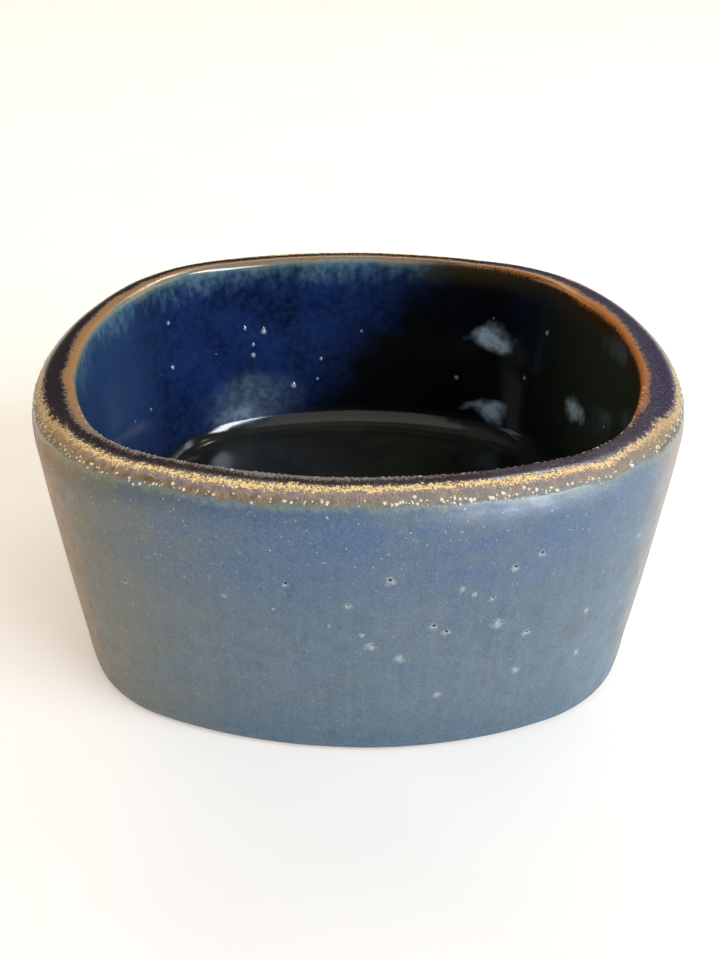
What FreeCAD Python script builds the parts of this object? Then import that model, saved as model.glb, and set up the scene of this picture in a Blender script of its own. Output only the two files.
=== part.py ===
import FreeCAD, Part
import math
import os

# A handleless shaving mug: a low rounded-square bowl of glazed stoneware with a thick rolled lip.
#
# Frame: +Z up, the origin on the table under the middle of the foot. Lengths are in millimetres.
#
# The plan is a rounded square of eight tangent arcs. Every section is drawn as an inset, measured
# inwards from the widest plan outline, against a height. All insets of the outline share the same
# arc centres, so turning a section about each centre in turn gives exact, tangent surfaces.
# The glaze coats are skins of one thickness, so the clay has the same section at that depth.

# Overall
WIDTH = 120.0  # flat to flat, at the widest level of the lip
HEIGHT = 51.5
SIDE_RADIUS = 84.0  # plan radius of the four gently curved sides
CORNER_RADIUS = 35.0  # plan radius of the four corners

# Outer wall: a shallow belly that narrows to the base
BASE_INSET = 5.2  # how far the base stands inside the widest outline
RIM_DRAFT = 5.0  # degrees off upright, just under the lip

# Lip
LIP_WIDTH = 8.5  # outer face to inner face
LIP_OUTER_RADIUS = 5.6
LIP_INNER_RADIUS = 1.3

# Inside of the bowl
INNER_DRAFT = 6.0  # degrees off upright
FLOOR_RADIUS = 5.5  # fillet between the wall and the floor
FLOOR_HEIGHT = 11.0
FLOOR_OVERLAP = 2.0  # how far the turned sections run on into the flat floor

# Foot: bare clay, a flat ring round a shallow recess
GLAZE_STOP = 0.9  # the outer glaze ends this far above the table
FOOT_SETBACK = 1.3  # from the base of the wall in to the foot ring's outer edge
FOOT_WIDTH = 7.0
RECESS_DEPTH = 1.5
RECESS_SLOPE = 1.2  # how far the recess's side leans in

# Glaze
GLAZE = 0.5  # thickness of every coat
FRINGE_ANGLE = 25.0  # degrees up round the lip, where the wall's glaze gives way to the lip's
CREST_ANGLE = 80.0  # degrees up round the lip, where the outer band meets the dark band
INNER_BAND_DROP = 1.6  # how far the inner band runs down inside the bowl

UP = FreeCAD.Vector(0, 0, 1)


def plan_arcs():
    """The eight plan arcs as (centre x, centre y, radius, start angle, end angle), in degrees."""
    side_offset = WIDTH / 2 - SIDE_RADIUS
    gap = SIDE_RADIUS - CORNER_RADIUS
    corner_offset = (side_offset + math.sqrt(2 * gap**2 - side_offset**2)) / 2
    half_side = math.degrees(math.atan2(corner_offset, corner_offset - side_offset))
    arcs = []
    for turn in (0, 90, 180, 270):
        side = turned(side_offset, 0, turn)
        corner = turned(corner_offset, corner_offset, turn)
        arcs.append((*side, SIDE_RADIUS, turn - half_side, turn + half_side))
        arcs.append((*corner, CORNER_RADIUS, turn + half_side, turn + 90 - half_side))
    return arcs


def turned(x, y, degrees):
    """The point (x, y) turned about the origin."""
    angle = math.radians(degrees)
    return (
        x * math.cos(angle) - y * math.sin(angle),
        x * math.sin(angle) + y * math.cos(angle),
    )


# Section points are (inset, height) pairs at a depth under the glaze's face.


def away(centre, distance, degrees):
    """The section point at a distance from centre; 0 degrees is outwards and 90 is up."""
    angle = math.radians(degrees)
    return (
        centre[0] - distance * math.cos(angle),
        centre[1] + distance * math.sin(angle),
    )


LIP_OUTER_CENTRE = (LIP_OUTER_RADIUS, HEIGHT - LIP_OUTER_RADIUS)
LIP_INNER_CENTRE = (LIP_WIDTH - LIP_INNER_RADIUS, HEIGHT - LIP_INNER_RADIUS)


def lip_outer(degrees, depth):
    """A point on the rolled outer half of the lip."""
    return away(LIP_OUTER_CENTRE, LIP_OUTER_RADIUS - depth, degrees)


def lip_inner(degrees, depth):
    """A point on the small round at the lip's inner edge."""
    return away(LIP_INNER_CENTRE, LIP_INNER_RADIUS - depth, degrees)


def wall_circle():
    """Centre and radius of the belly arc: tangent to the lip, and through the base's edge."""
    start = lip_outer(-RIM_DRAFT, 0)
    across = BASE_INSET - start[0]
    down = 0 - start[1]
    draft = math.radians(RIM_DRAFT)
    towards_centre = across * math.cos(draft) + down * math.sin(draft)
    radius = (across**2 + down**2) / (2 * towards_centre)
    return away(start, -radius, -RIM_DRAFT), radius


def wall_outer(height, depth):
    """A point on the outer wall at a height."""
    centre, radius = wall_circle()
    reach = radius - depth
    drop = centre[1] - height
    return (centre[0] - math.sqrt(reach**2 - drop**2), height)


def wall_inner(drop, depth):
    """A point on the straight inner wall, a slant distance below its top."""
    top = lip_inner(180 - INNER_DRAFT, depth)
    return away(top, drop, -90 - INNER_DRAFT)


def floor_centre():
    """Centre of the fillet that is tangent to the inner wall and the floor."""
    top = wall_inner(0, 0)
    height = FLOOR_HEIGHT + FLOOR_RADIUS
    draft = math.radians(INNER_DRAFT)
    inset = top[0] + (FLOOR_RADIUS + (top[1] - height) * math.sin(draft)) / math.cos(draft)
    return (inset, height)


def floor_fillet(degrees, depth):
    """A point on the fillet between the inner wall and the floor."""
    return away(floor_centre(), FLOOR_RADIUS + depth, degrees)


def core_inset():
    """Where the turned sections end and the flat middle of the floor begins."""
    return floor_centre()[0] + FLOOR_OVERLAP


# A run is a list of section strokes: two points for a line, three points for an arc.


def wall_run(depth):
    """Up the outer wall from the glaze's lower edge to the lip."""
    bottom = wall_outer(GLAZE_STOP, depth)
    top = lip_outer(-RIM_DRAFT, depth)
    middle = wall_outer((bottom[1] + top[1]) / 2, depth)
    return [(bottom, middle, top)]


def lip_outer_run(start, end, depth):
    """Round part of the rolled lip, between two angles."""
    return [tuple(lip_outer(angle, depth) for angle in (start, (start + end) / 2, end))]


def lip_top_run(depth):
    """Along the flat crest of the lip."""
    return [(lip_outer(90, depth), lip_inner(90, depth))]


def lip_inner_run(depth):
    """Round the lip's inner edge."""
    end = 180 - INNER_DRAFT
    return [tuple(lip_inner(angle, depth) for angle in (90, (90 + end) / 2, end))]


def bowl_run(drop, depth):
    """Down the inner wall from a given drop, round the fillet and on into the flat floor."""
    start = -INNER_DRAFT
    low = [floor_fillet(angle, depth) for angle in (start, (start - 90) / 2, -90)]
    middle = (core_inset(), FLOOR_HEIGHT - depth)
    return [(wall_inner(drop, depth), low[0]), tuple(low), (low[2], middle)]


def reverse(run):
    """The same run from its end to its start."""
    return [stroke[::-1] for stroke in run[::-1]]


def skin(make_run):
    """The closed section between a run at the glaze's face and the same run at the clay."""
    outside = make_run(0)
    inside = reverse(make_run(GLAZE))
    return outside + [(outside[-1][-1], inside[0][0])] + inside + [(inside[-1][-1], outside[0][0])]


def clay_section():
    """The closed section of the clay, from the foot over the lip and into the floor."""
    depth = GLAZE
    foot_outer = (BASE_INSET + FOOT_SETBACK, 0)
    foot_inner = (foot_outer[0] + FOOT_WIDTH, 0)
    recess_edge = (foot_inner[0] + RECESS_SLOPE, RECESS_DEPTH)
    recess_middle = (core_inset(), RECESS_DEPTH)
    run = [(foot_outer, wall_outer(GLAZE_STOP, depth))]
    run += wall_run(depth)
    run += lip_outer_run(-RIM_DRAFT, 90, depth)
    run += lip_top_run(depth)
    run += lip_inner_run(depth)
    run += bowl_run(0, depth)
    run += [
        (run[-1][-1], recess_middle),
        (recess_middle, recess_edge),
        (recess_edge, foot_inner),
        (foot_inner, foot_outer),
    ]
    return run


def turn_section(run):
    """A closed section turned about all eight plan centres and joined into one ring."""
    sectors = []
    for centre_x, centre_y, radius, start, end in plan_arcs():
        centre = FreeCAD.Vector(centre_x, centre_y, 0)
        outwards = FreeCAD.Vector(*turned(1, 0, start), 0)
        edges = []
        for stroke in run:
            points = [centre + outwards * (radius - inset) + UP * z for inset, z in stroke]
            edges.append(Part.Arc(*points).toShape() if len(points) == 3 else Part.makeLine(*points))
        face = Part.Face(Part.Wire(edges))
        sectors.append(face.revolve(centre, UP, end - start))
    return sectors[0].fuse(sectors[1:])


def core_slab(bottom, top):
    """The flat middle of the floor between two heights."""
    edges = []
    for centre_x, centre_y, radius, start, end in plan_arcs():
        centre = FreeCAD.Vector(centre_x, centre_y, bottom)
        circle = Part.Circle(centre, UP, radius - core_inset())
        edges.append(Part.Arc(circle, math.radians(start), math.radians(end)).toShape())
    return Part.Face(Part.Wire(edges)).extrude(UP * (top - bottom))


def stoneware_body():
    """The fired clay: wall, lip, floor and bare foot."""
    core = core_slab(RECESS_DEPTH, FLOOR_HEIGHT - GLAZE)
    return turn_section(clay_section()).fuse(core)


def wall_glaze():
    """The satin blue coat on the outer wall, up to the fringe on the lip's roll."""
    return turn_section(
        skin(lambda depth: wall_run(depth) + lip_outer_run(-RIM_DRAFT, FRINGE_ANGLE, depth))
    )


def lip_outer_glaze():
    """The tan band where the glaze breaks over the lip's roll."""
    return turn_section(skin(lambda depth: lip_outer_run(FRINGE_ANGLE, CREST_ANGLE, depth)))


def lip_crest_glaze():
    """The dark band along the crest of the lip."""
    return turn_section(
        skin(lambda depth: lip_outer_run(CREST_ANGLE, 90, depth) + lip_top_run(depth))
    )


def lip_inner_glaze():
    """The rust-coloured band where the glaze breaks over the lip's inner edge."""
    return turn_section(
        skin(
            lambda depth: lip_inner_run(depth)
            + [(wall_inner(0, depth), wall_inner(INNER_BAND_DROP, depth))]
        )
    )


def bowl_glaze():
    """The glossy liner of the inner wall and floor."""
    ring = turn_section(skin(lambda depth: bowl_run(INNER_BAND_DROP, depth)))
    return ring.fuse(core_slab(FLOOR_HEIGHT - GLAZE, FLOOR_HEIGHT))


def main():
    os.makedirs("parts", exist_ok=True)
    for make_part in (
        stoneware_body,
        wall_glaze,
        lip_outer_glaze,
        lip_crest_glaze,
        lip_inner_glaze,
        bowl_glaze,
    ):
        shape = make_part().removeSplitter()
        assert shape.isValid(), make_part.__name__
        assert len(shape.Solids) == 1, make_part.__name__
        shape.Solids[0].exportStep(os.path.join("parts", make_part.__name__ + ".step"))


main()
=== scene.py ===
import math

import bmesh
import bpy
import numpy as np
from mathutils import Matrix, Vector


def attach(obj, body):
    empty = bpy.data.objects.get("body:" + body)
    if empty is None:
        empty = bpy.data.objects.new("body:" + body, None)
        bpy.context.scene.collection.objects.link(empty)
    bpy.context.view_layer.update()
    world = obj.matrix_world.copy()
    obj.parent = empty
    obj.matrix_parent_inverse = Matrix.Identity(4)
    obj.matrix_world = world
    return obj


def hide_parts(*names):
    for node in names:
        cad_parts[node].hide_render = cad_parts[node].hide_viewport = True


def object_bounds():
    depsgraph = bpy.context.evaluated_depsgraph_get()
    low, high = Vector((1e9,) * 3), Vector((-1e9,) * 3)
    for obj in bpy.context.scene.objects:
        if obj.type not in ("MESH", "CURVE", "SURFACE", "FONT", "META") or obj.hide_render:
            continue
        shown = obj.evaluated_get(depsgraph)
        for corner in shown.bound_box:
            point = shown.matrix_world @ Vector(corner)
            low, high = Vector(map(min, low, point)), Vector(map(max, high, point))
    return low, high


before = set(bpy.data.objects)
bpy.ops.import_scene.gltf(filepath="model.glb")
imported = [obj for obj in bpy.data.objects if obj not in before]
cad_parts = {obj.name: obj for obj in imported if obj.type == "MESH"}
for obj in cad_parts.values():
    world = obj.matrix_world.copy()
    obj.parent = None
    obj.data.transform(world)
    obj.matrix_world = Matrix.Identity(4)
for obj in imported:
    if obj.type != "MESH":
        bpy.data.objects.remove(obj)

# A handleless shaving mug: a rounded-square bowl in glazed stoneware, on a pale studio floor.
#
# Lengths are in metres, in the CAD's frame: +Z up, the origin on the floor under the foot's middle,
# and -Y towards the camera. Each coat is one section swept round the plan, so neighbours meet
# exactly. A section is rows of an inset from the widest plan outline and a height.
#
# "along" is the distance in millimetres along the section, with 0 at the top of the lip's outer
# roll, negative down the outer wall and positive into the bowl. The colours of the coats, and
# most of their relief, are placed by it.

CAD_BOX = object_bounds()
MM = 0.001

# The bowl's form, with the same sizes as in the CAD
HALF_WIDTH = (CAD_BOX[1].x - CAD_BOX[0].x) / 2
HEIGHT = CAD_BOX[1].z
SIDE_RADIUS = 84 * MM
CORNER_RADIUS = 35 * MM
BASE_INSET = 5.2 * MM
RIM_DRAFT = 5.0
LIP_WIDTH = 8.5 * MM
LIP_OUTER_RADIUS = 5.6 * MM
LIP_INNER_RADIUS = 1.3 * MM
INNER_DRAFT = 6.0
FLOOR_RADIUS = 5.5 * MM
FLOOR_HEIGHT = 11 * MM
FLOOR_OVERLAP = 2 * MM
GLAZE_STOP = 0.9 * MM
FOOT_SETBACK = 1.3 * MM
FOOT_WIDTH = 7 * MM
FOOT_ROUND = 0.5 * MM
RECESS_DEPTH = 1.5 * MM
RECESS_SLOPE = 1.2 * MM
GLAZE = 0.5 * MM
FRINGE_ANGLE = 25.0
CREST_ANGLE = 80.0
INNER_BAND_DROP = 1.6 * MM

# Mesh steps
AROUND_WALL = 720
AROUND_LIP = 1440
AROUND_CLAY = 480
WALL_STEP = 0.6 * MM
LIP_STEP = 0.28 * MM
BOWL_STEP = 0.75 * MM
BACK_STEP = 5 * MM
CORE_STEPS = 24
CORE_HUB = 0.04  # the flat middle is closed by one face this share of its width
REFINE_MARGIN = 0.3 * MM  # how far past a spot its finer faces reach
STAIN_CUTS = 5  # how often each edge of those faces is cut, near a pinhole
BEAD_CUTS = 3  # and near a bead
SHARP_ANGLE = 60.0  # edges that turn by more degrees than this are shaded sharp

# Where things lie along the section, in millimetres
FRINGE_LINE = -4.0  # where the blue coat gives way to the lip's, in the middle of the front
FRINGE_SAG = 0.3  # how much lower it lies towards the front's corners
CORNER_SAG = 1.8  # how much lower again past the corners
OVER_FRONT = (5, 45)  # the bands shift between these distances from the middle, left and right
PAST_CORNER = (46, 58)  # and shift again between these
FLOOR_COLOUR = (38, 42)  # the liner takes on the floor's colour between these
FLOOR_GLOSS = (43, 47)  # and the floor's gloss between these

# Pinholes in the outer wall: degrees round from the front, height, radius of the pale stain and
# radius of the hole in millimetres. A healed one has no hole.
PINHOLES = (
    (-36.7, 30.8, 0.5, 0.20),
    (-20.0, 32.9, 0.5, 0.15),
    (-10.5, 36.6, 0.6, 0.24),
    (-1.3, 32.8, 0.6, 0.16),
    (4.7, 37.7, 0.9, 0.26),
    (11.7, 28.0, 0.8, 0.24),
    (13.8, 26.6, 0.8, 0.22),
    (17.5, 33.8, 0.6, 0.0),
    (20.5, 32.5, 0.6, 0.18),
    (21.7, 27.0, 1.1, 0.0),
    (23.3, 38.0, 0.8, 0.22),
    (27.2, 39.8, 0.7, 0.22),
    (27.0, 23.8, 0.8, 0.18),
    (6.7, 21.8, 0.9, 0.0),
    (26.3, 15.8, 0.7, 0.0),
    (13.3, 12.8, 0.7, 0.0),
    (37.5, 24.9, 0.7, 0.0),
    (37.5, 15.8, 0.7, 0.0),
    (46.7, 36.1, 0.7, 0.15),
    (-12.5, 31.4, 0.4, 0.0),
    (-4.2, 28.8, 0.4, 0.0),
    (0.8, 26.9, 0.5, 0.0),
    (2.0, 24.5, 0.9, 0.0),
    (15.5, 35.2, 0.6, 0.0),
)
STRAY_PINHOLES = 30  # more of them, strewn over the sides and back

# Blisters in the liner: degrees round from the front, height and radius in millimetres
BLISTERS = (
    (-149.8, 36.4, 0.4),
    (-154.5, 35.2, 0.72),
    (-151.6, 32.4, 0.48),
    (-151.3, 29.9, 0.64),
    (-129.2, 41.9, 0.56),
    (-128.3, 31.9, 0.56),
    (-161.7, 21.3, 0.72),
    (-168.5, 22.7, 0.4),
    (-169.7, 27.5, 0.4),
    (129.1, 40.1, 0.48),
    (134.0, 28.0, 0.48),
)
STRAY_BLISTERS = 16
BEAD_CLUSTERS = 330  # along the fringe under the lip
EDGE_BEADS = 150  # along the lip's inner edge

# Relief, in millimetres
WOBBLES = ((0.10, 75, 1), (0.02, 14, 2), (0.004, 4, 3))  # size, wavelength and seed
DRIFTS = ((0.2, 34, 11), (0.14, 9, 12))  # the same, for how far the bands wander off their lines
FRINGE_RISE = 0.11  # the thick edge of the blue coat, just under the fringe
FOOT_RISE = 0.12  # the roll where the blue coat stops above the foot
FOOT_ROLL_HEIGHT = 2.4
CRATER_DEPTH = 0.05
HOLE_DEPTH = 0.3
BEAD_RISE = 0.5  # a bead or blister's height, as a share of its radius

# Milky clouds in the liner on the left, and painted window reflections on its right side:
# centre x, y, z and radius in millimetres, and strength
CLOUDS_AND_PAINTED_REFLECTIONS = (
    (-26, 44, 18, 15, 0.22),
    (-28, 42, 14, 8, 0.4),
    (32, 43, 17.5, 6.5, 2.2),
    (31, 44, 35, 6.5, 1.8),
    (47, 19, 28.5, 6.5, 1.4),
)
# The swirl and the flattening below shape both the milky clouds and the painted reflections.
PALE_PATCH_SWIRL = 11 * MM  # how far the clouds are pulled out of round
PALE_PATCH_FLATTEN = 1.6


# --- The plan and the section -------------------------------------------------------------------


def plan_arcs():
    """Rows of centre x, centre y, radius, start and end angle for the plan's eight tangent arcs."""
    side_offset = HALF_WIDTH - SIDE_RADIUS
    gap = SIDE_RADIUS - CORNER_RADIUS
    corner_offset = (side_offset + math.sqrt(2 * gap**2 - side_offset**2)) / 2
    half_side = math.atan2(corner_offset, corner_offset - side_offset)
    arcs = []
    for quarter in range(4):
        turn = quarter * math.pi / 2
        c, s = math.cos(turn), math.sin(turn)
        corner = (corner_offset * (c - s), corner_offset * (c + s))
        side = (side_offset * c, side_offset * s)
        arcs.append((*side, SIDE_RADIUS, turn - half_side, turn + half_side))
        arcs.append((*corner, CORNER_RADIUS, turn + half_side, turn + math.pi / 2 - half_side))
    return np.array(arcs)


def plan_outline(count):
    """Evenly spaced points round the widest outline, and the outward normal at each."""
    arcs = plan_arcs()
    centre, radius, start, end = arcs[:, :2], arcs[:, 2], arcs[:, 3], arcs[:, 4]
    finish = np.cumsum(radius * (end - start))
    distance = np.arange(count) / count * finish[-1]
    arc = np.searchsorted(finish, distance, side="right")
    angle = end[arc] - (finish[arc] - distance) / radius[arc]
    normal = np.column_stack([np.cos(angle), np.sin(angle)])
    return centre[arc] + normal * radius[arc, None], normal


def arc_rows(centre, radius, start, end, step, hollow=False):
    """Rows round an arc: inset, height, outward and upward share of the normal, and shrink."""
    count = 1 + max(1, round(radius * math.radians(abs(end - start)) / step))
    angle = np.radians(np.linspace(start, end, count))
    out, up = np.cos(angle), np.sin(angle)
    side = -1 if hollow else 1
    rows = [centre[0] - radius * out, centre[1] + radius * up, side * out, side * up]
    return np.column_stack([*rows, np.ones(count)])


def line_rows(start, end, step):
    """Rows along a straight stretch from one (inset, height) to another."""
    inward, rise = end[0] - start[0], end[1] - start[1]
    length = math.hypot(inward, rise)
    count = 1 + max(1, round(length / step))
    inset = np.linspace(start[0], end[0], count)
    height = np.linspace(start[1], end[1], count)
    normal = np.ones((count, 2)) * (rise / length, inward / length)
    return np.column_stack([inset, height, normal, np.ones(count)])


def core_rows(inset, height, steps, up):
    """Rows that shrink the outline at an inset towards the middle of the bowl."""
    shrink = np.linspace(1, CORE_HUB, steps)
    ones = np.ones(steps)
    return np.column_stack([ones * inset, ones * height, ones * 0, ones * up, shrink])


def joined(*runs):
    """Runs of rows that meet end to end, as one run."""
    return np.vstack([runs[0]] + [run[1:] for run in runs[1:]])


def away(centre, distance, degrees):
    """The (inset, height) at a distance from centre; 0 degrees is outwards and 90 is up."""
    angle = math.radians(degrees)
    return (centre[0] - distance * math.cos(angle), centre[1] + distance * math.sin(angle))


LIP_OUTER_CENTRE = (LIP_OUTER_RADIUS, HEIGHT - LIP_OUTER_RADIUS)
LIP_INNER_CENTRE = (LIP_WIDTH - LIP_INNER_RADIUS, HEIGHT - LIP_INNER_RADIUS)


def wall_circle():
    """Centre and radius of the belly arc: tangent to the lip, and through the base's edge."""
    start = away(LIP_OUTER_CENTRE, LIP_OUTER_RADIUS, -RIM_DRAFT)
    draft = math.radians(RIM_DRAFT)
    across = BASE_INSET - start[0]
    towards_centre = across * math.cos(draft) - start[1] * math.sin(draft)
    radius = (across**2 + start[1] ** 2) / (2 * towards_centre)
    return away(start, -radius, -RIM_DRAFT), radius


def wall_inset(height, depth=0.0):
    """How far in the outer wall stands at a height."""
    centre, radius = wall_circle()
    return centre[0] - math.sqrt((radius - depth) ** 2 - (centre[1] - height) ** 2)


def inner_wall(drop, depth):
    """A point on the inner wall, a slant distance below its top."""
    top = away(LIP_INNER_CENTRE, LIP_INNER_RADIUS - depth, 180 - INNER_DRAFT)
    return away(top, drop, -90 - INNER_DRAFT)


def floor_centre():
    """Centre of the fillet between the inner wall and the floor."""
    top = inner_wall(0, 0)
    height = FLOOR_HEIGHT + FLOOR_RADIUS
    draft = math.radians(INNER_DRAFT)
    return (top[0] + (FLOOR_RADIUS + (top[1] - height) * math.sin(draft)) / math.cos(draft), height)


def wall_rows(bottom, depth, step):
    """Up the outer wall to the start of the lip's roll."""
    centre, radius = wall_circle()
    low = math.degrees(math.asin((bottom - centre[1]) / (radius - depth)))
    return arc_rows(centre, radius - depth, low, -RIM_DRAFT, step)


def roll_rows(start, end, depth, step):
    """Round part of the lip's outer roll."""
    return arc_rows(LIP_OUTER_CENTRE, LIP_OUTER_RADIUS - depth, start, end, step)


def crest_rows(depth, step):
    """Along the flat crest of the lip."""
    start = away(LIP_OUTER_CENTRE, LIP_OUTER_RADIUS - depth, 90)
    end = away(LIP_INNER_CENTRE, LIP_INNER_RADIUS - depth, 90)
    return line_rows(start, end, step)


def edge_rows(depth, step):
    """Round the lip's inner edge."""
    return arc_rows(LIP_INNER_CENTRE, LIP_INNER_RADIUS - depth, 90, 180 - INNER_DRAFT, step)


def bowl_rows(drop, depth, step):
    """Down the inner wall, round the fillet and in to the middle of the floor."""
    centre = floor_centre()
    fillet = arc_rows(centre, FLOOR_RADIUS + depth, -INNER_DRAFT, -90, step, hollow=True)
    core = centre[0] + FLOOR_OVERLAP
    floor = FLOOR_HEIGHT - depth
    return joined(
        line_rows(inner_wall(drop, depth), tuple(fillet[0, :2]), step),
        fillet,
        line_rows((centre[0], floor), (core, floor), step),
        core_rows(core, floor, CORE_STEPS, 1),
    )


# The coats from the foot to the middle of the bowl: name, rows at a depth, face step, count around
COATS = (
    (
        "wall_glaze",
        lambda depth, step: joined(
            wall_rows(GLAZE_STOP, depth, step), roll_rows(-RIM_DRAFT, FRINGE_ANGLE, depth, step)
        ),
        WALL_STEP,
        AROUND_WALL,
    ),
    (
        "lip_outer_glaze",
        lambda depth, step: roll_rows(FRINGE_ANGLE, CREST_ANGLE, depth, step),
        LIP_STEP,
        AROUND_LIP,
    ),
    (
        "lip_crest_glaze",
        lambda depth, step: joined(
            roll_rows(CREST_ANGLE, 90, depth, step), crest_rows(depth, step)
        ),
        LIP_STEP,
        AROUND_LIP,
    ),
    (
        "lip_inner_glaze",
        lambda depth, step: joined(
            edge_rows(depth, step),
            line_rows(inner_wall(0, depth), inner_wall(INNER_BAND_DROP, depth), step),
        ),
        LIP_STEP,
        AROUND_LIP,
    ),
    (
        "bowl_glaze",
        lambda depth, step: bowl_rows(INNER_BAND_DROP, depth, step),
        BOWL_STEP,
        AROUND_WALL,
    ),
)


def travelled(rows):
    """Distance along the rows from the first one."""
    steps = np.hypot(np.diff(rows[:, 0]), np.diff(rows[:, 1]))
    steps += np.abs(np.diff(rows[:, 4])) * HALF_WIDTH
    return np.concatenate([[0], np.cumsum(steps)])


def coat_starts():
    """Each coat's first "along"."""
    lengths = [travelled(make_rows(0, LIP_STEP))[-1] / MM for _, make_rows, _, _ in COATS]
    below_zero = lengths[0] + lengths[1] + LIP_OUTER_RADIUS * math.radians(90 - CREST_ANGLE) / MM
    return np.concatenate([[0], np.cumsum(lengths[:-1])]) - below_zero


# --- Relief -------------------------------------------------------------------------------------


def waves(points, wavelength, seed, count=28):
    """Smooth random relief of about unit size, from waves that run every way."""
    random = np.random.default_rng(seed)
    direction = random.normal(size=(count, 3))
    direction /= np.linalg.norm(direction, axis=1)[:, None]
    phase = random.uniform(0, 2 * math.pi, count)
    turns = points @ direction.T * (2 * math.pi / wavelength) + phase
    return np.sin(turns).sum(1) * math.sqrt(2 / count)


def ridge(along, middle, width):
    """A soft ridge of unit height."""
    return np.exp(-(((along - middle) / width) ** 2))


def smooth_step(value, start, end):
    """0 at start to 1 at end, with soft ends, as in a material's fade."""
    share = np.clip((value - start) / (end - start), 0, 1)
    return share**2 * (3 - 2 * share)


def fringe_line(x):
    """Where the fringe lies at an x in metres."""
    sideways = np.abs(x) / MM
    sag = FRINGE_SAG * smooth_step(sideways, *OVER_FRONT)
    return FRINGE_LINE - sag - CORNER_SAG * smooth_step(sideways, *PAST_CORNER)


def summed(table, points):
    """The waves of a table of sizes, wavelengths and seeds, in millimetres."""
    return sum(size * waves(points, length * MM, seed) for size, length, seed in table)


def nearest(points, spots):
    """For every point, the closest spot's distance as a share of its radius, and that radius."""
    share = np.full(len(points), 9.0)
    size = np.zeros(len(points))
    for x, y, z, radius in spots:
        near = np.flatnonzero(np.abs(points[:, 2] - z) < 4 * radius)
        away_by = np.linalg.norm(points[near] - (x, y, z), axis=1) / radius
        closer = away_by < share[near]
        share[near[closer]] = away_by[closer]
        size[near[closer]] = radius
    return share, size


def dome(share):
    """A dome of unit height."""
    return np.sqrt(np.clip(1 - share**2, 0, 1))


def relief(points, along):
    """The glaze's own wobble and its thick edges, in millimetres."""
    height = summed(WOBBLES, points)
    height += FRINGE_RISE * ridge(along, fringe_line(points[:, 0]) - 0.5, 0.4)
    return height + FOOT_RISE * ridge(points[:, 2] / MM, FOOT_ROLL_HEIGHT, 1.3)


def ring_point(degrees, inset, height):
    """The point at a bearing from the front, on the outline at an inset."""
    points, normals = plan_outline(3600)
    ring = points - normals * inset
    bearings = np.degrees(np.arctan2(ring[:, 0], -ring[:, 1]))
    closest = np.argmin(np.abs((bearings - degrees + 180) % 360 - 180))
    return (*ring[closest], height)


def lip_point(degrees, along):
    """The point of the lip at a bearing and an "along"."""
    if along < 0:
        angle = 90 + math.degrees(along * MM / LIP_OUTER_RADIUS)
        return ring_point(degrees, *away(LIP_OUTER_CENTRE, LIP_OUTER_RADIUS, angle))
    past_crest = along * MM - (LIP_INNER_CENTRE[0] - LIP_OUTER_CENTRE[0])
    angle = 90 + math.degrees(past_crest / LIP_INNER_RADIUS)
    return ring_point(degrees, *away(LIP_INNER_CENTRE, LIP_INNER_RADIUS, angle))


def wall_pinholes():
    """The pinholes' stains and their holes, the listed ones and the stray ones."""
    random = np.random.default_rng(5)
    rows = list(PINHOLES)
    for _ in range(STRAY_PINHOLES):
        degrees = random.uniform(52, 318)
        height = random.triangular(6, 30, 43)
        rows.append((degrees, height, random.uniform(0.4, 1.0), random.choice((0, 0.16, 0.22))))
    stains = []
    holes = []
    for degrees, height, stain, hole in rows:
        place = ring_point(degrees, wall_inset(height * MM), height * MM)
        stains.append((*place, stain * MM))
        if hole:
            holes.append((*place[:2], place[2] + 0.2 * MM, hole * MM))
    return stains, holes


def fringe_beads():
    """The small glaze beads that gather in clusters at the fringe under the lip."""
    random = np.random.default_rng(8)
    beads = []
    for _ in range(BEAD_CLUSTERS):
        middle = random.uniform(0, 360)
        for _ in range(random.integers(1, 5)):
            degrees = middle + random.normal(0, 1.0)
            line = fringe_line(math.sin(math.radians(degrees)) * HALF_WIDTH)
            place = lip_point(degrees, random.normal(line + 0.35, 0.3))
            beads.append((*place, random.triangular(0.10, 0.15, 0.36) * MM))
    return beads


def edge_beads():
    """Finer beads along the front of the lip's inner edge. Their pale colour is partly painted
    glint.
    """
    random = np.random.default_rng(9)
    beads = []
    for _ in range(EDGE_BEADS):
        place = lip_point(random.uniform(-60, 70), random.normal(2.2, 0.15))
        beads.append((*place, random.uniform(0.10, 0.20) * MM))
    return beads


def bowl_blisters():
    """Blisters in the liner, the listed ones and the stray ones."""
    random = np.random.default_rng(21)
    rows = list(BLISTERS)
    for _ in range(STRAY_BLISTERS):
        rows.append((random.uniform(0, 360), random.uniform(22, 44), random.uniform(0.24, 0.56)))
    top = inner_wall(0, 0)
    lean = math.tan(math.radians(INNER_DRAFT))
    blisters = []
    for degrees, height, radius in rows:
        inset = top[0] + (top[1] - height * MM) * lean
        blisters.append((*ring_point(degrees, inset, height * MM), radius * MM))
    return blisters


# --- Meshes -------------------------------------------------------------------------------------


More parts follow.
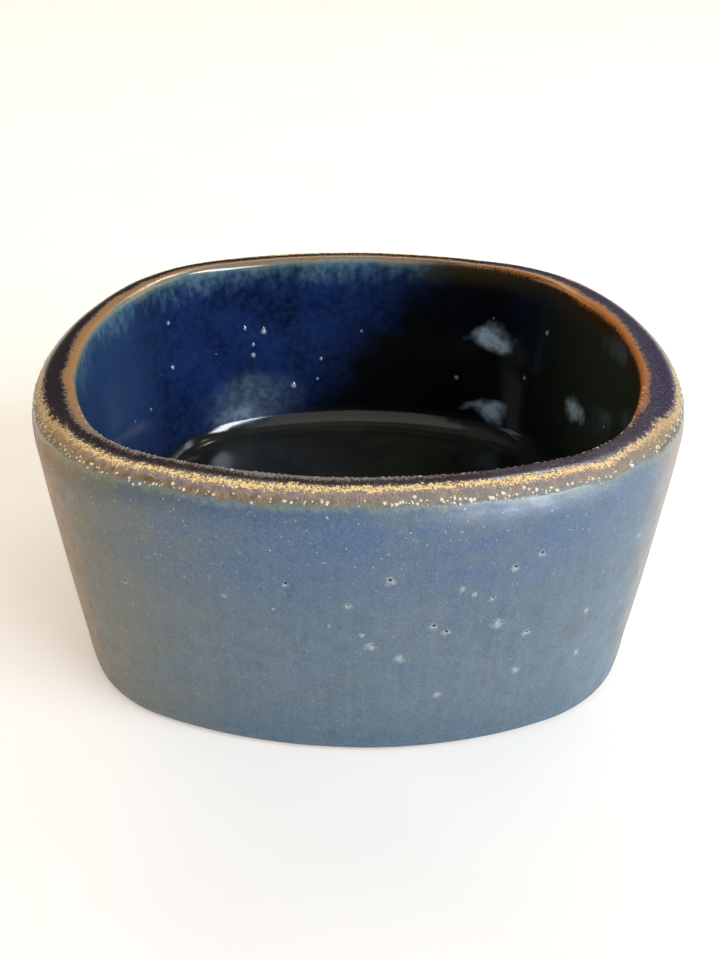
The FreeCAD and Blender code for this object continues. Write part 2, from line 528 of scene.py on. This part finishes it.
def swept(name, rows, lift, along, around, closed):
    """A mesh of rows swept round the plan. It stores which way relief lifts each vertex, and the
    vertex's unrolled place: two coordinates for the way round and "along"."""
    points, normals = plan_outline(around)
    inset, height, out, up, shrink = rows.T[:, :, None]
    count = len(rows)
    places = np.empty((count, around, 3))
    raised = np.empty((count, around, 3))
    for axis in (0, 1):
        places[:, :, axis] = (points[:, axis] - normals[:, axis] * inset) * shrink
        raised[:, :, axis] = normals[:, axis] * out
    places[:, :, 2] = height
    raised[:, :, 2] = up
    raised *= lift[:, None, None]

    ring = np.arange(around)
    row = np.arange(count if closed else count - 1)[:, None]
    after = (row + 1) % count
    beside = (ring + 1) % around
    low, high = row * around, after * around
    quads = [low + ring, low + beside, high + beside, high + ring]
    faces = np.stack(quads, axis=-1).reshape(-1, 4).tolist()
    if not closed:
        faces.append(ring[::-1].tolist())
        faces.append(((count - 1) * around + ring).tolist())

    mesh = bpy.data.meshes.new(name)
    mesh.from_pydata(places.reshape(-1, 3).tolist(), [], faces)
    turn = 2 * math.pi * ring / around
    unrolled = np.empty((count, around, 3))
    unrolled[:, :, 0] = np.cos(turn) * HALF_WIDTH / MM
    unrolled[:, :, 1] = np.sin(turn) * HALF_WIDTH / MM
    unrolled[:, :, 2] = along[:, None]
    write_vectors(mesh, "lift", raised.reshape(-1, 3))
    write_vectors(mesh, "unrolled", unrolled.reshape(-1, 3))
    return mesh


def write_vectors(mesh, name, values):
    """Stores a vector for every vertex."""
    made = mesh.attributes.new(name, "FLOAT_VECTOR", "POINT")
    made.data.foreach_set("vector", values.astype(np.float32).ravel())


def write_numbers(mesh, name, values):
    """Stores a number for every vertex."""
    made = mesh.attributes.new(name, "FLOAT", "POINT")
    made.data.foreach_set("value", values.astype(np.float32))


def read_vectors(mesh, name):
    """A vector attribute as an array of rows."""
    values = np.empty(len(mesh.vertices) * 3, np.float32)
    mesh.attributes[name].data.foreach_get("vector", values)
    return values.reshape(-1, 3).astype(float)


def refine(mesh, spots, cuts):
    """Divides the faces near the spots, so that small relief has enough vertices."""
    work = bmesh.new()
    work.from_mesh(mesh)
    work.verts.ensure_lookup_table()
    places = np.array([vertex.co for vertex in work.verts])
    share, _ = nearest(places, [(x, y, z, radius + REFINE_MARGIN) for x, y, z, radius in spots])
    close = share < 1
    edges = [e for e in work.edges if close[e.verts[0].index] and close[e.verts[1].index]]
    bmesh.ops.subdivide_edges(work, edges=edges, cuts=cuts, use_grid_fill=True)
    work.to_mesh(mesh)
    work.free()


def shape_face(mesh, stains, holes, beads):
    """Raises and sinks the face by its relief, and stores what the colours need."""
    places = read_vectors(mesh, "position")
    unrolled = read_vectors(mesh, "unrolled")
    unrolled[:, 2] += summed(DRIFTS, places)
    stain, _ = nearest(places, stains)
    hole, _ = nearest(places, holes)
    bead, radius = nearest(places, beads)
    height = relief(places, unrolled[:, 2]) - CRATER_DEPTH * dome(stain)
    height -= HOLE_DEPTH * np.exp(-((hole / 0.9) ** 4))
    height += BEAD_RISE * radius / MM * dome(bead)
    moved = places + read_vectors(mesh, "lift") * height[:, None] * MM
    mesh.attributes["unrolled"].data.foreach_set("vector", unrolled.astype(np.float32).ravel())
    mesh.attributes["position"].data.foreach_set("vector", moved.astype(np.float32).ravel())
    write_numbers(mesh, "stain", stain)
    write_numbers(mesh, "hole", hole)
    write_numbers(mesh, "bead", bead)
    mesh.update()


def piece(mesh, node, material):
    """An object that rides on the body, stands for a CAD node and takes its slot."""
    mesh.materials.append(material)
    mesh.shade_smooth()
    mesh.set_sharp_from_angle(angle=math.radians(SHARP_ANGLE))
    made = bpy.data.objects.new(mesh.name, mesh)
    bpy.context.scene.collection.objects.link(made)
    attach(made, "root")
    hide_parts(node)


def coat(name, make_rows, step, around, start, spots):
    """One glaze coat: a detailed face and a plain back against the clay."""
    face = make_rows(0, step)
    back = make_rows(GLAZE, BACK_STEP)[::-1]
    along = start + travelled(face) / MM
    rows = np.vstack([back, face])
    lift = np.concatenate([np.zeros(len(back)), np.ones(len(face))])
    along = np.concatenate([np.full(len(back), along.mean()), along])
    mesh = swept(name + "_coat", rows, lift, along, around, name != "bowl_glaze")
    refine(mesh, spots["stains"], STAIN_CUTS)
    refine(mesh, spots["beads"], BEAD_CUTS)
    shape_face(mesh, spots["stains"], spots["holes"], spots["beads"])
    return mesh


def clay_rows():
    """The clay from the middle of its floor, over the lip and down to the middle of its foot."""
    outer = BASE_INSET + FOOT_SETBACK
    inner = outer + FOOT_WIDTH
    core = floor_centre()[0] + FOOT_WIDTH
    over = joined(
        wall_rows(GLAZE_STOP, GLAZE, BACK_STEP),
        roll_rows(-RIM_DRAFT, 90, GLAZE, 1 * MM),
        crest_rows(GLAZE, 1 * MM),
        edge_rows(GLAZE, 1 * MM),
        bowl_rows(0, GLAZE, BACK_STEP),
    )
    foot_wall = (wall_inset(GLAZE_STOP, GLAZE), GLAZE_STOP)
    under = joined(
        line_rows(foot_wall, (outer, FOOT_ROUND), 0.4 * MM),
        arc_rows((outer + FOOT_ROUND, FOOT_ROUND), FOOT_ROUND, 0, -90, 0.2 * MM),
        line_rows((outer + FOOT_ROUND, 0), (inner - FOOT_ROUND, 0), 0.7 * MM),
        arc_rows((inner - FOOT_ROUND, FOOT_ROUND), FOOT_ROUND, -90, -150, 0.2 * MM),
        line_rows(
            away((inner - FOOT_ROUND, FOOT_ROUND), FOOT_ROUND, -150),
            (inner + RECESS_SLOPE, RECESS_DEPTH),
            0.4 * MM,
        ),
        line_rows((inner + RECESS_SLOPE, RECESS_DEPTH), (core, RECESS_DEPTH), 0.9 * MM),
        core_rows(core, RECESS_DEPTH, 30, -1),
    )
    return over, under


def clay(material):
    """The clay body: hidden under the coats, bare on its foot and in the recess."""
    over, under = clay_rows()
    rows = np.vstack([over[::-1], under[1:]])
    lift = np.zeros(len(rows))
    along = np.zeros(len(rows))
    mesh = swept("clay_body", rows, lift, along, AROUND_CLAY, False)
    mesh.flip_normals()
    piece(mesh, "stoneware_body", material)


# --- Materials ----------------------------------------------------------------------------------


def tone(red, green, blue):
    """A display colour of 0 to 255 as the linear colour that a shader takes."""
    linear = []
    for value in (red, green, blue):
        share = value / 255
        linear.append(share / 12.92 if share <= 0.04045 else ((share + 0.055) / 1.055) ** 2.4)
    return (*linear, 1.0)


class Wiring:
    """A material's node tree while it is wired up."""

    def __init__(self, name):
        self.material = bpy.data.materials.new(name)
        self.material.use_nodes = True
        self.nodes = self.material.node_tree.nodes
        self.links = self.material.node_tree.links
        self.shader = self.nodes["Principled BSDF"]
        self.place = self.nodes.new("ShaderNodeTexCoord").outputs["Object"]

    def feed(self, socket, value):
        """Links a socket, or sets it where the value is plain."""
        if isinstance(value, bpy.types.NodeSocket):
            self.links.new(value, socket)
        else:
            socket.default_value = value

    def node(self, kind, inputs, **settings):
        """A node with its settings, its inputs by name or number, and its first output."""
        made = self.nodes.new(kind)
        for key, value in settings.items():
            setattr(made, key, value)
        for key, value in inputs.items():
            self.feed(made.inputs[key], value)
        return made.outputs[0]

    def attribute(self, name, output):
        """A stored attribute: output is Fac for a number and Vector for a vector."""
        made = self.nodes.new("ShaderNodeAttribute")
        made.attribute_name = name
        return made.outputs[output]

    def sum(self, a, b):
        return self.node("ShaderNodeMath", {0: a, 1: b}, operation="ADD")

    def difference(self, a, b):
        return self.node("ShaderNodeMath", {0: a, 1: b}, operation="SUBTRACT")

    def product(self, a, b):
        return self.node("ShaderNodeMath", {0: a, 1: b}, operation="MULTIPLY")

    def unsigned(self, value):
        """The value without its sign."""
        return self.node("ShaderNodeMath", {0: value}, operation="ABSOLUTE")

    def stretched(self, vector, scale):
        """The vector with its axes scaled."""
        return self.node("ShaderNodeVectorMath", {0: vector, 1: scale}, operation="MULTIPLY")

    def noise(self, vector, size, detail=3.0, roughness=0.55, spread=(0.3, 0.7)):
        """Noise of a grain size in the vector's own units, spread to fill 0 to 1."""
        raw = self.node(
            "ShaderNodeTexNoise",
            {"Vector": vector, "Scale": 1 / size, "Detail": detail, "Roughness": roughness},
        )
        return self.fade(raw, *spread)

    def fade(self, value, start, end):
        """0 at start to 1 at end, with soft ends."""
        return self.node(
            "ShaderNodeMapRange",
            {"Value": value, "From Min": start, "From Max": end},
            interpolation_type="SMOOTHSTEP",
        )

    def mix(self, share, a, b):
        """Colour a where share is 0 and b where it is 1."""
        made = self.nodes.new("ShaderNodeMix")
        made.data_type = "RGBA"
        self.feed(made.inputs["Factor"], share)
        self.feed(made.inputs["A"], a)
        self.feed(made.inputs["B"], b)
        return made.outputs["Result"]

    def blend(self, share, a, b):
        """The same for numbers."""
        made = self.nodes.new("ShaderNodeMix")
        self.feed(made.inputs["Factor"], share)
        self.feed(made.inputs["A"], a)
        self.feed(made.inputs["B"], b)
        return made.outputs["Result"]

    def split(self, vector):
        """The vector's three parts."""
        made = self.nodes.new("ShaderNodeSeparateXYZ")
        self.feed(made.inputs[0], vector)
        return made.outputs

    def bump(self, height, distance, normal=None):
        """A normal from a height of 0 to 1 that stands for a distance in metres."""
        inputs = {"Height": height, "Distance": distance}
        if normal is not None:
            inputs["Normal"] = normal
        return self.node("ShaderNodeBump", inputs)

    def finish(self, color, roughness, normal):
        """Links what varies over the surface to the shader."""
        self.feed(self.shader.inputs["Base Color"], color)
        self.feed(self.shader.inputs["Roughness"], roughness)
        self.feed(self.shader.inputs["Normal"], normal)
        return self.material


def wall_colour(w, unrolled, x, y, height):
    """The satin blue coat: a mottled blue-grey with faint runs and fine pale specks, with painted
    shade towards the foot, painted light on its right side, a painted tan and a painted cream
    reflection at the front corners, and olive on the left that is partly a painted reflection."""
    clouds = w.noise(w.place, 22 * MM, 3.0)
    patches = w.noise(w.stretched(w.place, (1, 1, 1.6)), 9 * MM, 4.0, 0.6, (0.36, 0.64))
    mottle = w.noise(w.place, 2.5 * MM, 4.0)
    flecks = w.noise(w.stretched(w.place, (1, 1, 0.7)), 1.1 * MM, 3.0)
    grain = w.noise(w.place, 0.4 * MM, 2.0)
    runs = w.noise(w.stretched(unrolled, (1, 1, 0.06)), 1.2, 3.0)
    colour = w.mix(clouds, tone(54, 82, 96), tone(90, 98, 112))
    colour = w.mix(w.product(patches, 0.7), colour, tone(62, 88, 120))
    teal = w.noise(w.stretched(w.place, (1, 1, 0.8)), 15 * MM, 4.0, 0.6, (0.5, 0.72))
    colour = w.mix(w.product(teal, 0.5), colour, tone(52, 98, 118))
    colour = w.mix(w.product(mottle, 0.5), colour, tone(92, 118, 128))
    colour = w.mix(w.product(runs, 0.45), colour, tone(100, 114, 130))
    top = w.product(w.fade(height, 28 * MM, 44 * MM), w.blend(patches, 0.35, 0.9))
    colour = w.mix(top, colour, tone(58, 88, 130))
    # Darker towards the foot: painted shade.
    colour = w.mix(w.product(w.fade(height, 14 * MM, 0.0), 0.6), colour, tone(44, 78, 102))
    # Olive on the left: partly the glaze's own tint, partly a painted warm reflection.
    olive = w.product(w.fade(x, -14 * MM, -50 * MM), w.blend(patches, 1.0, 0.7))
    colour = w.mix(olive, colour, tone(112, 108, 84))
    # Tan at the left front corner: a painted warm reflection.
    tan = w.product(w.fade(x, -41 * MM, -53 * MM), w.fade(y, 10 * MM, -20 * MM))
    colour = w.mix(w.product(tan, 0.75), colour, tone(156, 112, 56))
    # Paler on the right side, where the key window falls: painted light.
    painted_light_side = w.product(w.fade(x, 18 * MM, 52 * MM), w.blend(patches, 0.2, 0.55))
    colour = w.mix(painted_light_side, colour, tone(112, 132, 146))
    # Cream at the right front corner: a painted warm reflection.
    cream = w.product(w.fade(x, 44 * MM, 53 * MM), w.fade(y, 10 * MM, -20 * MM))
    colour = w.mix(w.product(cream, 0.5), colour, tone(206, 178, 140))
    colour = w.mix(w.product(flecks, 0.25), colour, tone(62, 82, 108))
    colour = w.mix(w.product(grain, 0.2), colour, tone(134, 154, 160))
    near_lip = w.blend(w.fade(height, 30 * MM, 48 * MM), 0.3, 0.8)
    near_lip = w.product(near_lip, w.blend(mottle, 0.3, 1.0))
    specks = w.noise(w.place, 0.45 * MM, 1.0, 0.5, (0.69, 0.78))
    return w.mix(w.product(specks, near_lip), colour, tone(210, 224, 226))


def lip_colour(w, along, from_fringe, x, y, past_gold):
    """The lip's bands, from the brown fringe over the dark crest to the rust edge. The gold band
    and the pale specks at the front are partly painted glints, and the lighter violet on the right
    is a painted sheen.
    """
    front = w.fade(y, -15 * MM, -50 * MM)
    back = w.fade(y, 25 * MM, 52 * MM)
    left = w.fade(x, 15 * MM, -25 * MM)
    right = w.fade(x, 10 * MM, 50 * MM)
    grain = w.noise(w.place, 0.35 * MM, 2.0)
    glints = w.noise(w.place, 0.4 * MM, 2.0, 0.5, (0.32, 0.52))
    mottle = w.noise(w.place, 1.3 * MM, 3.0)
    dark_end = w.sum(w.sum(0.35, front), w.product(w.sum(back, right), 0.8))
    past_dark = w.difference(along, dark_end)
    sides = w.fade(w.unsigned(x), 36 * MM, 54 * MM)

    mauve = w.mix(mottle, tone(116, 108, 118), tone(154, 134, 118))
    mauve = w.mix(sides, mauve, tone(150, 122, 84))
    brown = w.mix(left, tone(120, 116, 112), tone(100, 78, 50))
    brown = w.mix(mottle, brown, tone(148, 130, 104))
    lowest = w.product(w.fade(sides, 0.4, 1.0), w.fade(from_fringe, 0.6, 0.1))
    brown = w.mix(lowest, brown, tone(62, 44, 24))
    # Lighter violet on the right: a painted sheen of the key window.
    violet = w.mix(right, tone(34, 18, 36), tone(80, 72, 108))
    aubergine = w.mix(grain, tone(10, 3, 11), violet)
    # Pale specks in the dark band at the front: partly the glaze's own specks, partly painted
    # glints.
    specks_and_painted_glints = w.noise(w.place, 0.3 * MM, 2.0, 0.5, (0.62, 0.72))
    aubergine = w.mix(w.product(specks_and_painted_glints, w.product(front, 0.5)), aubergine, tone(190, 150, 120))
    # Gold: partly the tan break of the glaze, partly painted glints.
    gold = w.mix(glints, tone(176, 134, 96), tone(255, 226, 160))
    stone = w.mix(w.fade(x, -5 * MM, 30 * MM), tone(132, 126, 120), tone(70, 60, 76))
    stone = w.mix(front, tone(152, 124, 94), stone)
    colour = w.mix(w.fade(from_fringe, 0.7, 1.3), brown, mauve)
    # The gold band, stronger at the front than on the sides: partly a tan break, partly painted
    # glints.
    gold_break_and_painted_glint = w.product(w.fade(past_gold, -1.4, -0.8), w.blend(sides, 1.0, 0.4))
    colour = w.mix(gold_break_and_painted_glint, colour, gold)
    colour = w.mix(w.fade(past_gold, -0.25, 0.15), colour, aubergine)
    colour = w.mix(w.fade(past_dark, -0.25, 0.25), colour, stone)
    rust = w.mix(w.fade(x, -30 * MM, 30 * MM), tone(168, 128, 84), tone(184, 114, 56))
    rust = w.mix(w.product(back, 0.6), rust, tone(112, 92, 70))
    return w.mix(w.fade(past_dark, w.sum(0.2, front), w.sum(0.9, front)), colour, rust)


def milk_and_painted_reflections(w):
    """How pale the liner is, from its milky clouds on the left and its painted window reflections
    on the right: flat balls, warped by a swirl.
    """
    wisps = w.noise(w.place, 1.6 * MM, 4.0)
    swirl = w.nodes.new("ShaderNodeTexNoise")
    w.feed(swirl.inputs["Vector"], w.place)
    w.feed(swirl.inputs["Scale"], 1 / (7 * MM))
    pull = w.stretched(swirl.outputs["Color"], (PALE_PATCH_SWIRL,) * 3)
    flat = w.stretched(w.place, (1, 1, PALE_PATCH_FLATTEN))
    warped = w.node("ShaderNodeVectorMath", {0: flat, 1: pull}, operation="ADD")
    paleness = 0.0
    for x, y, z, radius, strength in CLOUDS_AND_PAINTED_REFLECTIONS:
        centre = Vector((x, y, z * PALE_PATCH_FLATTEN)) * MM + Vector((PALE_PATCH_SWIRL / 2,) * 3)
        from_centre = w.nodes.new("ShaderNodeVectorMath")
        from_centre.operation = "DISTANCE"
        w.feed(from_centre.inputs[0], warped)
        w.feed(from_centre.inputs[1], centre)
        share = w.fade(from_centre.outputs["Value"], radius * MM, 0.1 * radius * MM)
        paleness = w.sum(paleness, w.product(share, strength))
    return w.product(paleness, w.blend(wisps, 0.4, 1.0))


def bowl_colour(w, unrolled, along, x, height):
    """The liner: teal drips under the edge, and cobalt, lighter on the left as painted light.
    Nearly black on the right, partly dark glaze and partly painted shade, and dark on the floor.
    Milky clouds on the left and painted window reflections on the right.
    """
    drips = w.noise(w.stretched(unrolled, (1, 1, 0.6)), 2.4, 3.0)
    clouds = w.noise(w.place, 12 * MM, 3.0)
    mottle = w.noise(w.place, 1.4 * MM, 3.0)
    cobalt = w.mix(clouds, tone(10, 17, 52), tone(22, 42, 94))
    cobalt = w.mix(w.product(mottle, 0.2), cobalt, tone(44, 84, 130))
    # Lighter on the left, where the key window falls: painted light.
    cobalt = w.mix(w.product(w.fade(x, -40 * MM, -54 * MM), 0.8), cobalt, tone(50, 76, 118))
    teal = w.mix(mottle, tone(66, 106, 130), tone(112, 148, 164))
    reach = w.sum(along, w.sum(w.product(drips, -3.0), w.product(clouds, -3.0)))
    colour = w.mix(w.fade(reach, -5.0, 6.0), teal, cobalt)
    colour = w.mix(w.product(w.fade(along, 4.6, 2.8), 0.7), colour, tone(126, 140, 130))

    # Nearly black on the right: partly dark glaze, partly painted shade, with a painted green
    # reflection at the far right.
    black = w.mix(w.fade(x, 34 * MM, 54 * MM), tone(8, 10, 11), tone(42, 54, 46))
    black = w.mix(w.fade(along, 3.0, 9.0), tone(54, 46, 26), black)
    dark_glaze_and_painted_shade = w.sum(x, w.product(w.sum(height, -36 * MM), -0.8))
    dark_glaze_and_painted_shade = w.fade(w.sum(dark_glaze_and_painted_shade, w.product(clouds, 10 * MM)), -2 * MM, 20 * MM)
    colour = w.mix(dark_glaze_and_painted_shade, colour, black)
    # Pale marks: milky clouds on the left, painted window reflections on the right.
    colour = w.mix(milk_and_painted_reflections(w), colour, tone(176, 210, 238))
    floor = w.mix(clouds, tone(22, 28, 26), tone(40, 41, 35))
    return w.mix(w.fade(along, *FLOOR_COLOUR), colour, floor)


def glaze_material(name):
    """A coat's material. All coats share their colours, so that they run on over each seam."""
    w = Wiring(name)
    unrolled = w.attribute("unrolled", "Vector")
    x, y, height = w.split(w.place)
    smooth_along = w.split(unrolled)[2]
    fray = w.sum(w.noise(w.place, 0.35 * MM, 2.0), -0.5)
    fibre = w.sum(w.noise(w.stretched(unrolled, (1, 1, 0.2)), 0.22, 2.0), -0.5)
    along = w.sum(smooth_along, w.sum(w.product(fray, 0.8), w.product(fibre, 0.7)))
    sideways = w.unsigned(x)
    over_front = w.fade(sideways, *(edge * MM for edge in OVER_FRONT))
    past_corner = w.fade(sideways, *(edge * MM for edge in PAST_CORNER))
    sag = w.sum(w.product(over_front, FRINGE_SAG), w.product(past_corner, CORNER_SAG))
    from_fringe = w.sum(smooth_along, w.sum(sag, -FRINGE_LINE))
    ragged = w.sum(from_fringe, w.sum(w.product(w.noise(w.place, 1.1 * MM, 4.0), 0.8), -0.4))
    past_fringe = w.fade(ragged, -0.5, 0.3)
    tatter = w.product(w.sum(w.noise(w.place, 0.9 * MM, 4.0), -0.5), 0.7)
    past_gold = w.sum(w.sum(along, tatter), w.sum(w.product(over_front, 0.7), 0.5))
    past_gold = w.sum(past_gold, w.product(past_corner, 3.0))
    in_bowl = w.fade(w.sum(along, w.product(w.fade(x, 10 * MM, 50 * MM), -0.5)), 2.2, 3.0)

    wall = wall_colour(w, unrolled, x, y, height)
    wall = w.mix(w.product(w.fade(ragged, -1.6, -0.4), 0.6), wall, tone(128, 142, 134))
    colour = w.mix(past_fringe, wall, lip_colour(w, along, ragged, x, y, past_gold))
    colour = w.mix(in_bowl, colour, bowl_colour(w, unrolled, smooth_along, x, height))
    stain, hole, bead = (w.attribute(kind, "Fac") for kind in ("stain", "hole", "bead"))
    broken = w.noise(w.place, 0.5 * MM, 3.0)
    blotch = w.product(w.fade(w.sum(stain, w.product(broken, 0.9)), 1.8, 0.3), 0.6)
    colour = w.mix(blotch, colour, tone(186, 196, 188))
    colour = w.mix(w.fade(hole, 1.15, 0.95), colour, tone(10, 9, 10))
    # Pale beads: the fringe beads' own white, partly painted glints on the edge beads, and a pale
    # blue on the liner's blisters that is a painted highlight.
    raised = w.product(w.fade(bead, 1.2, 0.4), w.blend(in_bowl, 0.9, 0.7))
    colour = w.mix(raised, colour, w.mix(in_bowl, tone(244, 238, 222), tone(176, 196, 218)))

    satin = w.blend(w.noise(w.place, 3 * MM, 3.0), 0.4, 0.54)
    pooled = w.fade(from_fringe, -0.9, -0.5)
    gold = w.fade(past_gold, 0.3, -0.3)
    lip = w.blend(gold, 0.22, w.blend(w.noise(w.place, 0.4 * MM, 2.0), 0.24, 0.42))
    roughness = w.blend(past_fringe, w.blend(pooled, satin, 0.16), lip)
    liner = w.blend(w.fade(smooth_along, *FLOOR_GLOSS), 0.06, 0.2)
    roughness = w.blend(in_bowl, roughness, liner)
    crusty = w.blend(past_fringe, w.product(pooled, 0.6), w.blend(gold, 0.06, 1.0))
    normal = w.bump(w.product(w.noise(w.place, 0.35 * MM, 3.0), crusty), 0.08 * MM)
    outside = w.product(w.fade(along, 2.9, 2.3), w.blend(past_fringe, 1.0, w.blend(gold, 0.3, 1.0)))
    normal = w.bump(w.product(w.noise(w.place, 1.2 * MM, 3.0), outside), 0.012 * MM, normal)
    return w.finish(colour, roughness, normal)


def bare_clay():
    """Unglazed stoneware: warm brown with dark and pale grog."""
    w = Wiring("bare_stoneware")
    mottle = w.noise(w.place, 8 * MM, 4.0)
    dark = w.noise(w.place, 0.8 * MM, 2.0, 0.5, (0.62, 0.72))
    pale = w.noise(w.stretched(w.place, (1, 1, 1.3)), 0.6 * MM, 2.0, 0.5, (0.66, 0.74))
    colour = w.mix(mottle, tone(150, 122, 94), tone(178, 150, 120))
    colour = w.mix(w.product(dark, 0.7), colour, tone(74, 54, 40))
    colour = w.mix(w.product(pale, 0.5), colour, tone(206, 188, 160))
    grain = w.noise(w.place, 0.5 * MM, 4.0)
    roughness = w.blend(mottle, 0.78, 0.92)
    return w.finish(colour, roughness, w.bump(grain, 0.08 * MM))


def floor_material():
    """Pale seamless paper."""
    w = Wiring("studio_paper")
    fibre = w.noise(w.place, 60 * MM, 4.0)
    colour = w.mix(fibre, tone(244, 244, 244), tone(248, 248, 248))
    w.feed(w.shader.inputs["Emission Color"], (1.0, 1.0, 1.0, 1.0))
    w.feed(w.shader.inputs["Emission Strength"], PAPER_GLOW)
    return w.finish(colour, w.blend(fibre, 0.7, 0.8), w.bump(fibre, 0.02 * MM))


# --- Studio -------------------------------------------------------------------------------------


def bearing(azimuth, elevation):
    """The direction at an azimuth right of the front and an elevation above the horizon."""
    a, e = math.radians(azimuth), math.radians(elevation)
    return Vector((math.sin(a) * math.cos(e), -math.cos(a) * math.cos(e), math.sin(e)))


# The view. The azimuth is in degrees right of the front, the elevation above the horizon.
VIEW_AZIMUTH = -0.2
VIEW_ELEVATION = 29.4
VIEW_DISTANCE = 223.2 * MM
VIEW_ROLL = 0.41
VIEW_CENTRE = Vector((0.5, 0, 21.7)) * MM
VIEW_LENS = 41.25  # in millimetres, over a sensor this wide
VIEW_SENSOR = 36

# The paper floor, and how bright the room is
PAPER_REACH = 1.7  # from the middle of the floor to its edges
PAPER_GLOW = 0.25
ROOM_IN_REFLECTIONS = 0.08
ROOM_BEHIND = 0.95

# The lights: name, azimuth, elevation, distance, width and height in metres, tilt, watts, colour.
# Those whose names end in "glint" show in reflections only.
LIGHTS = (
    ("key_window", 50, 28, 2.0, 1.7, 0.6, -46, 33, (0.92, 0.96, 1.0)),
    ("key_glint", 50, 26, 1.9, 1.7, 0.6, -46, 40, (0.92, 0.96, 1.0)),
    ("far_glint", 150, 51, 2.0, 1.1, 0.2, 35, 14, (0.88, 0.94, 1.0)),
    ("lamp_glint", 103, 48, 2.0, 0.08, 0.08, 0, 0.5, (1.0, 0.6, 0.4)),
    ("front_room", 0, 42, 2.4, 2.2, 3.2, 0, 17, (1.0, 0.88, 0.74)),
    ("ceiling", 0, 90, 2.5, 4.0, 4.0, 0, 7, (1.0, 1.0, 1.0)),
    ("left_wall", -104, 8, 2.0, 2.0, 1.4, 0, 20, (1.0, 0.68, 0.32)),
    ("right_wall", 106, 8, 2.0, 2.0, 1.2, 0, 10, (1.0, 0.93, 0.84)),
    ("back_strip", 180, 47, 2.0, 4.0, 0.3, 0, 26, (1.0, 0.84, 0.62)),
)


def softbox(name, azimuth, elevation, distance, width, height, tilt, power, colour):
    """A rectangular light that faces the bowl and stays out of pictures itself."""
    data = bpy.data.lights.new(name, "AREA")
    data.shape = "RECTANGLE"
    data.size = width
    data.size_y = height
    data.energy = power
    data.color = colour
    made = bpy.data.objects.new(name, data)
    direction = bearing(azimuth, elevation)
    facing = direction.to_track_quat("Z", "Y").to_matrix().to_4x4()
    place = Matrix.Translation(Vector((0, 0, HEIGHT / 2)) + direction * distance)
    made.matrix_world = place @ facing @ Matrix.Rotation(math.radians(-tilt), 4, "Z")
    made.visible_camera = False
    made.visible_diffuse = not name.endswith("glint")
    bpy.context.scene.collection.objects.link(made)


def studio():
    """The floor, the lights and a room that is dim in reflections and pale behind the bowl."""
    mesh = bpy.data.meshes.new("studio_floor")
    reach = PAPER_REACH
    corners = [(-reach, -reach, 0), (reach, -reach, 0), (reach, reach, 0), (-reach, reach, 0)]
    mesh.from_pydata(corners, [], [(0, 1, 2, 3)])
    mesh.materials.append(floor_material())
    floor = bpy.data.objects.new("studio_floor", mesh)
    bpy.context.scene.collection.objects.link(floor)

    for row in LIGHTS:
        softbox(*row)

    world = bpy.data.worlds.new("studio_room")
    world.use_nodes = True
    bpy.context.scene.world = world
    tree = world.node_tree
    background = tree.nodes["Background"]
    background.inputs["Color"].default_value = (1.0, 1.0, 1.0, 1.0)
    seen = tree.nodes.new("ShaderNodeLightPath").outputs["Is Camera Ray"]
    strength = tree.nodes.new("ShaderNodeMapRange")
    strength.inputs["To Min"].default_value = ROOM_IN_REFLECTIONS
    strength.inputs["To Max"].default_value = ROOM_BEHIND
    tree.links.new(seen, strength.inputs["Value"])
    tree.links.new(strength.outputs["Result"], background.inputs["Strength"])


def camera():
    """A phone's view from above the front, close enough for strong perspective."""
    data = bpy.data.cameras.new("camera")
    data.lens = VIEW_LENS
    data.sensor_width = VIEW_SENSOR
    data.clip_start = 0.01
    made = bpy.data.objects.new("camera", data)
    back = bearing(VIEW_AZIMUTH, VIEW_ELEVATION)
    turn = back.to_track_quat("Z", "Y").to_matrix().to_4x4()
    roll = Matrix.Rotation(math.radians(VIEW_ROLL), 4, "Z")
    made.matrix_world = Matrix.Translation(VIEW_CENTRE + back * VIEW_DISTANCE) @ turn @ roll
    bpy.context.scene.collection.objects.link(made)
    bpy.context.scene.camera = made


def main():
    camera()
    studio()
    stains, holes = wall_pinholes()
    nothing = {"stains": [], "holes": [], "beads": []}
    finishes = {
        "wall_glaze": ("satin_blue_glaze", {"stains": stains, "holes": holes, "beads": []}),
        "lip_outer_glaze": ("tan_break_glaze", {**nothing, "beads": fringe_beads()}),
        "lip_crest_glaze": ("aubergine_glaze", nothing),
        "lip_inner_glaze": ("rust_break_glaze", {**nothing, "beads": edge_beads()}),
        "bowl_glaze": ("cobalt_gloss_glaze", {**nothing, "beads": bowl_blisters()}),
    }
    for (name, make_rows, step, around), start in zip(COATS, coat_starts()):
        slot, spots = finishes[name]
        mesh = coat(name, make_rows, step, around, start, spots)
        piece(mesh, name, glaze_material(slot))
    clay(bare_clay())
    bpy.context.scene.view_settings.view_transform = "Standard"


main()
